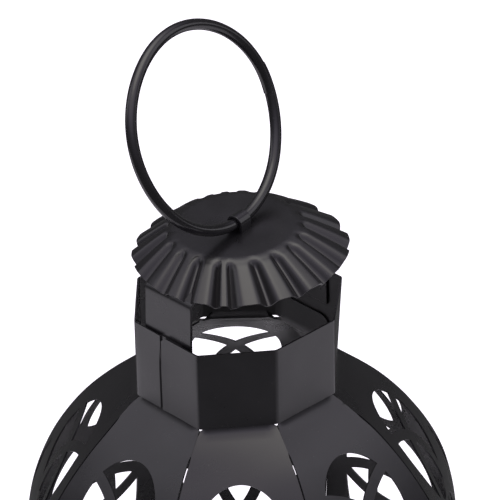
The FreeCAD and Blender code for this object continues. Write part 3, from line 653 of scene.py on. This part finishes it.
def make_cap():
    rng = random.Random(11)
    depths = [rng.uniform(0.8, 1.15) for _ in VALLEYS]
    per_flute = 16
    disc_rings = 10
    skirt_rings = 18
    points = []
    for flute, valley_angle in enumerate(VALLEYS):
        following = (flute + 1) % len(VALLEYS)
        gap = (VALLEYS[following] - valley_angle) % 360
        size = min(1.0, gap / 15) ** 0.7
        for step in range(per_flute):
            share = step / per_flute
            angle = math.radians(valley_angle + gap * share)
            deep = depths[flute] * (1 - share) + depths[following] * share
            valley = abs(math.cos(math.pi * share)) ** 6
            wave = (0.5 - 1.5 * valley) * deep * size
            for ring in range(1, disc_rings + skirt_rings + 1):
                t = ring / disc_rings
                if t <= 1:
                    radius = CAP_DISC * t
                    x = radius * math.cos(angle) + DISC_SHIFT[0] * t
                    y = radius * math.sin(angle) + DISC_SHIFT[1] * t
                    dent = -DISC_DENT * math.exp(-((x + 1) ** 2 + (y + 2) ** 2) / 40)
                    ripple = DISC_RIPPLE * noise.noise(Vector((x / 7, y / 7, 2.2)))
                    z = CAP_TOP - DISC_SAG - DISC_CROWN * t * t + dent + ripple * (1 - t)
                    points.append(Vector((CAP_X + x, y, z)))
                    continue
                t = (ring - disc_rings) / skirt_rings
                rise = ease(t, 0.0, 0.2) * (0.6 + 0.4 * t)
                amount = wave * FLUTE_DEPTH * rise
                front = max(0.0, -math.sin(angle))
                back = max(0.0, math.sin(angle))
                reach = CAP_RIM - CAP_DISC - FRONT_SHORT * front - BACK_SHORT * back
                radius = CAP_DISC + reach * t + amount * 0.55
                fall = 0.9 * t + 0.1 * t * t
                edge = CAP_TOP - DISC_SAG - DISC_CROWN
                z = edge - (CAP_DROP - DISC_SAG - DISC_CROWN) * fall + amount * 0.85
                x = radius * math.cos(angle) + DISC_SHIFT[0] * (1 - t)
                y = radius * math.sin(angle) + DISC_SHIFT[1] * (1 - t)
                points.append(Vector((CAP_X + x, y, z)))
    rings = disc_rings + skirt_rings
    around = len(VALLEYS) * per_flute
    centre = len(points)
    points.append(Vector((CAP_X, 0, CAP_TOP - DISC_SAG - DISC_CROWN)))
    faces = []
    for column in range(around):
        here, there = column * rings, (column + 1) % around * rings
        faces.append((centre, here, there))
        for ring in range(rings - 1):
            faces.append((here + ring, here + ring + 1, there + ring + 1, there + ring))
    piece = add_object("fluted_cap_sheet", [cap_tilt(p) for p in points], faces, SHEET_PAINT)
    orient(piece, lambda centre, normal: normal.z)
    thicken(piece, GAUGE, 0.13)
    keep(piece, "lantern", "sheet_paint", "fluted_cap")


# ------------------------------------------------------------ strips: bracket and clip

def round_path(corners, radius, count=5):
    """Corner points with every inner corner rounded off."""
    path = [Vector(corners[0])]
    for before, corner, after in zip(corners, corners[1:], corners[2:]):
        corner = Vector(corner)
        to_before = (Vector(before) - corner).normalized()
        to_after = (Vector(after) - corner).normalized()
        half = to_before.angle(to_after) / 2
        reach = min(radius / math.tan(half), (Vector(before) - corner).length * 0.48,
                    (Vector(after) - corner).length * 0.48)
        for i in range(count + 1):
            t = i / count
            a, b = corner + to_before * reach, corner + to_after * reach
            path.append((1 - t) ** 2 * a + 2 * t * (1 - t) * corner + t * t * b)
    path.append(Vector(corners[-1]))
    return path


def strip(name, path, width, place, material, across=4):
    """Flat strip that follows a path in the XZ plane, spread along Y by its width."""
    dense = []
    for a, b in zip(path, path[1:]):
        count = max(1, round((b - a).length / 1.5))
        dense += [a + (b - a) * i / count for i in range(count)]
    dense.append(path[-1])
    points = []
    for point in dense:
        for i in range(across + 1):
            y = width * (i / across - 0.5)
            points.append(place(Vector((point.x, y, point.z))))
    faces = []
    for i in range(len(dense) - 1):
        for j in range(across):
            a = i * (across + 1) + j
            faces.append((a, a + 1, a + across + 2, a + across + 1))
    return add_object(name, points, faces, material)


BRACKET_TURN = SIDE
BRACKET_WIDTH = 17.6
BRACKET_SHOULDER = NECK_Z + 38.5
BRACKET_FLAT = 9.0               # half of the level part under the cap
BRACKET_BEND = 2.5


def make_bracket():
    low, _ = box_mm("cap_bracket")
    top = CAP_TOP - DISC_SAG - GAUGE
    lapped = COLLAR_INSIDE - GAUGE
    corners = [(COLLAR_INSIDE, 0, low.z), (COLLAR_INSIDE, 0, BRACKET_SHOULDER),
               (BRACKET_FLAT, 0, top), (-BRACKET_FLAT, 0, top),
               (-lapped, 0, BRACKET_SHOULDER), (-lapped, 0, low.z)]

    def place(point):
        return cap_tilt(turned(point, BRACKET_TURN), ease(point.z, COLLAR_TOP, top))

    piece = strip("cap_bracket_strap", round_path(corners, BRACKET_BEND), BRACKET_WIDTH, place,
                  SHEET_PAINT, across=8)
    orient(piece, lambda centre, normal: centre.x * normal.x + centre.y * normal.y
           + 30 * normal.z)
    thicken(piece, STRAP, 0.2)
    keep(piece, "lantern", "sheet_paint", "cap_bracket")


RING_TURN = 52.0
RING_LEAN = 23.0
CLIP_WIDTH = 4.5
CLIP_FOOT = 4.0                  # length of each leg turned out under the bracket
CLIP_SLACK = 0.15                # between the clip and the wire
WIRE_R = 1.6
RING_R = 28.2
WELD_LAP = 8.6                   # length over which the wire's two ends lie side by side
WELD_SHIFT = 0.62                # how far each of them moves aside for the other
WIRE_Z = CAP_TOP + WIRE_R + 0.05


def make_clip():
    inner = WIRE_R + CLIP_SLACK
    outer = inner + STRAP
    under = CAP_TOP - GAUGE - STRAP
    path = [Vector((-outer - CLIP_FOOT, 0, under)), Vector((-outer, 0, under))]
    path.append(Vector((-outer, 0, WIRE_Z)))
    for i in range(1, 12):
        a = math.pi * i / 12
        path.append(Vector((-outer * math.cos(a), 0, WIRE_Z + outer * math.sin(a))))
    path += [Vector((outer, 0, WIRE_Z)), Vector((outer, 0, under)),
             Vector((outer + CLIP_FOOT, 0, under))]
    piece = strip("ring_clip_strap", path, CLIP_WIDTH,
                  lambda p: turned(p, RING_TURN + 90) + Vector((CAP_X, 0, 0)), WIRE_PAINT)
    orient(piece, lambda centre, normal: centre.x * normal.x + centre.y * normal.y
           + 3 * normal.z)
    thicken(piece, STRAP, 0.18)
    keep(piece, "lantern", "wire_paint", "ring_clip")


# ------------------------------------------------------------ ring

def make_ring():
    """Hoop of round wire whose two ends are flattened, lapped and welded."""
    along = Vector((math.cos(math.radians(RING_TURN)), math.sin(math.radians(RING_TURN)), 0))
    rise = Vector((-along.y * math.sin(math.radians(RING_LEAN)),
                   along.x * math.sin(math.radians(RING_LEAN)),
                   math.cos(math.radians(RING_LEAN))))
    axis = along.cross(rise)
    centre = Vector((CAP_X, 0, WIRE_Z)) + rise * RING_R
    lap = WELD_LAP / RING_R
    start = math.radians(-4)
    steps = 220
    sides = 24
    points = []
    for i in range(steps + 1):
        turn = (2 * math.pi + lap) * i / steps
        angle = start + turn
        near_start = 1 - ease(turn, 0.0, lap * 1.15)
        near_end = 1 - ease(2 * math.pi + lap - turn, 0.0, lap * 1.15)
        out = along * math.cos(angle) + rise * math.sin(angle)
        shift = WELD_SHIFT * (near_end - near_start)
        flat = 1 - 0.42 * max(near_start, near_end)
        wobble = 0.12 * math.sin(3 * angle + 0.6) + 0.08 * math.sin(5 * angle)
        wobble *= ease(math.sin(angle), -1.0, -0.5)
        hub = centre + out * (RING_R + shift + wobble)
        for j in range(sides):
            a = 2 * math.pi * j / sides
            points.append(hub + out * (WIRE_R * flat * math.cos(a))
                          + axis * (WIRE_R * math.sin(a)))
    faces = []
    for i in range(steps):
        for j in range(sides):
            a, b = i * sides + j, i * sides + (j + 1) % sides
            faces.append((a, b, b + sides, a + sides))
    faces.append(tuple(range(sides)))
    faces.append(tuple(steps * sides + j for j in reversed(range(sides))))
    piece = add_object("hanging_ring_wire", points, faces, WIRE_PAINT)
    bm = bmesh.new()
    bm.from_mesh(piece.data)
    bmesh.ops.recalc_face_normals(bm, faces=bm.faces)
    bm.to_mesh(piece.data)
    bm.free()
    soften(piece, 0.18, 60)
    keep(piece, "ring", "wire_paint", "hanging_ring")


# ------------------------------------------------------------ CAD pieces with softened edges

def softened(node, name, body, width):
    """Copy of a CAD piece with flat faces rejoined and its edges eased."""
    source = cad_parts[node]
    bm = bmesh.new()
    bm.from_mesh(source.data)
    bmesh.ops.remove_doubles(bm, verts=bm.verts, dist=1e-6)
    bmesh.ops.dissolve_limit(bm, angle_limit=math.radians(0.6), verts=bm.verts, edges=bm.edges)
    mesh = bpy.data.meshes.new(name)
    bm.to_mesh(mesh)
    bm.free()
    mesh.materials.clear()
    mesh.materials.append(SHEET_PAINT)
    mesh.shade_smooth()
    piece = bpy.data.objects.new(name, mesh)
    bpy.context.scene.collection.objects.link(piece)
    soften(piece, width, 38)
    keep(piece, body, "sheet_paint", node)


SOFTENED = [
    ("foot_band", "foot_sheet", "lantern", 0.12),
    ("base_plate", "base_pan_sheet", "lantern", 0.12),
    ("candle_cup", "candle_cup_sheet", "lantern", 0.1),
    ("cup_rivet", "cup_rivet_head", "lantern", 0.1),
    ("hinge_leaf_fixed", "hinge_leaf_on_panel", "lantern", 0.1),
    ("hinge_leaf_door", "hinge_leaf_on_door", "door", 0.1),
    ("hinge_pin", "hinge_pin_wire", "lantern", 0.08),
    ("latch_spindle", "latch_spindle_rivet", "latch", 0.08),
    ("latch_lever", "latch_lever_strap", "latch", 0.12),
    ("latch_cam", "latch_cam_strap", "latch", 0.12),
]


# ------------------------------------------------------------ studio

def make_floor():
    """Finite white sheet, so that gloss sees it beside the lantern but not far off."""
    wide, front, back = 650.0, -190.0, 130.0
    floor = add_object("studio_floor", [(-wide, front, 0), (wide, front, 0),
                                        (wide, back, 0), (-wide, back, 0)],
                       [(0, 1, 2, 3)], bpy.data.materials.new("pale_floor"), smooth=False)
    tree, shader = nodes_of(floor.data.materials[0])
    cloud = texture(tree, "ShaderNodeTexNoise", 3, Detail=2.0)
    tone = ramp(tree, cloud.outputs["Fac"], [(0.2, grey(0.88)), (0.8, grey(0.91))])
    tree.links.new(tone.outputs["Color"], shader.inputs["Base Color"])
    shader.inputs["Roughness"].default_value = 0.9
    shader.inputs["Specular IOR Level"].default_value = 0.1


def area_light(name, place, target, width, height, power, colour):
    light = bpy.data.lights.new(name, "AREA")
    light.shape = "RECTANGLE"
    light.size = width
    light.size_y = height
    light.energy = power
    light.color = colour
    lamp = bpy.data.objects.new(name, light)
    bpy.context.scene.collection.objects.link(lamp)
    lamp.location = place
    lamp.rotation_euler = (Vector(target) - Vector(place)).to_track_quat("-Z", "Y").to_euler()


def make_lights():
    middle = (0, 0, 0.15)
    area_light("softbox_left", (-1.6, 0.2, 0.9), middle, 0.7, 1.2, 4, (0.96, 0.94, 1.0))
    area_light("softbox_right", (1.6, 0.2, 0.9), middle, 0.7, 1.2, 4, (0.96, 0.94, 1.0))
    make_air()


def make_air():
    """White room for the floor; gloss sees a large softbox overhead and dim walls."""
    world = bpy.data.worlds.new("studio_air")
    bpy.context.scene.world = world
    world.use_nodes = True
    tree = world.node_tree
    air = tree.nodes["Background"]
    way = tree.nodes.new("ShaderNodeTexCoord")
    split = tree.nodes.new("ShaderNodeSeparateXYZ")
    tree.links.new(way.outputs["Generated"], split.inputs["Vector"])
    front = ramp(tree, split.outputs["Z"], [
        (0.0, grey(0.03)), (0.4, (0.10, 0.095, 0.115)), (0.7, (0.36, 0.335, 0.40)),
        (0.87, (0.46, 0.43, 0.455)), (0.945, (0.95, 0.91, 0.88)), (1.0, (1.0, 0.97, 0.93))])
    behind = ramp(tree, split.outputs["Z"], [
        (0.0, grey(0.02)), (0.5, grey(0.03)), (0.62, (0.10, 0.095, 0.115)),
        (0.78, (0.24, 0.225, 0.26)), (0.92, (0.70, 0.68, 0.68)), (1.0, (1.0, 0.97, 0.93))])
    side = tree.nodes.new("ShaderNodeMapRange")
    side.inputs["From Min"].default_value = -0.3
    side.inputs["From Max"].default_value = 0.25
    tree.links.new(split.outputs["Y"], side.inputs["Value"])
    blend = tree.nodes.new("ShaderNodeMix")
    blend.data_type = "RGBA"
    tree.links.new(side.outputs["Result"], blend.inputs["Factor"])
    tree.links.new(front.outputs["Color"], blend.inputs["A"])
    tree.links.new(behind.outputs["Color"], blend.inputs["B"])
    bright = tree.nodes.new("ShaderNodeVectorMath")
    bright.operation = "SCALE"
    bright.inputs["Scale"].default_value = 5.0
    tree.links.new(blend.outputs["Result"], bright.inputs[0])
    path = tree.nodes.new("ShaderNodeLightPath")
    mix = tree.nodes.new("ShaderNodeMix")
    mix.data_type = "RGBA"
    tree.links.new(path.outputs["Is Glossy Ray"], mix.inputs["Factor"])
    mix.inputs["A"].default_value = (1.40, 1.34, 1.46, 1)
    tree.links.new(bright.outputs["Vector"], mix.inputs["B"])
    tree.links.new(mix.outputs["Result"], air.inputs["Color"])


def make_camera():
    """Camera at the viewing angle of the reference, a long lens a metre away."""
    elevation = math.radians(32.17)
    roll = math.radians(-1.155)
    distance = 1.003
    target = Vector((3.81, 0, NECK_Z + 39.9)) * MM
    back = Vector((0, -math.cos(elevation), math.sin(elevation)))
    right = Vector((1, 0, 0))
    up = right.cross(-back)
    x = math.cos(roll) * right + math.sin(roll) * up
    y = -math.sin(roll) * right + math.cos(roll) * up
    data = bpy.data.cameras.new("camera")
    data.sensor_width = 36
    data.lens = 262.2
    data.clip_start = 0.05
    camera = bpy.data.objects.new("camera", data)
    bpy.context.scene.collection.objects.link(camera)
    place = target + back * distance
    camera.matrix_world = Matrix(((x.x, y.x, back.x, place.x), (x.y, y.y, back.y, place.y),
                                  (x.z, y.z, back.z, place.z), (0, 0, 0, 1)))
    bpy.context.scene.camera = camera


make_panels()
make_collar()
make_cap()
make_bracket()
make_clip()
make_ring()
for node, name, body, width in SOFTENED:
    softened(node, name, body, width)
make_floor()
make_lights()
make_camera()
bpy.context.scene.view_settings.view_transform = "Standard"
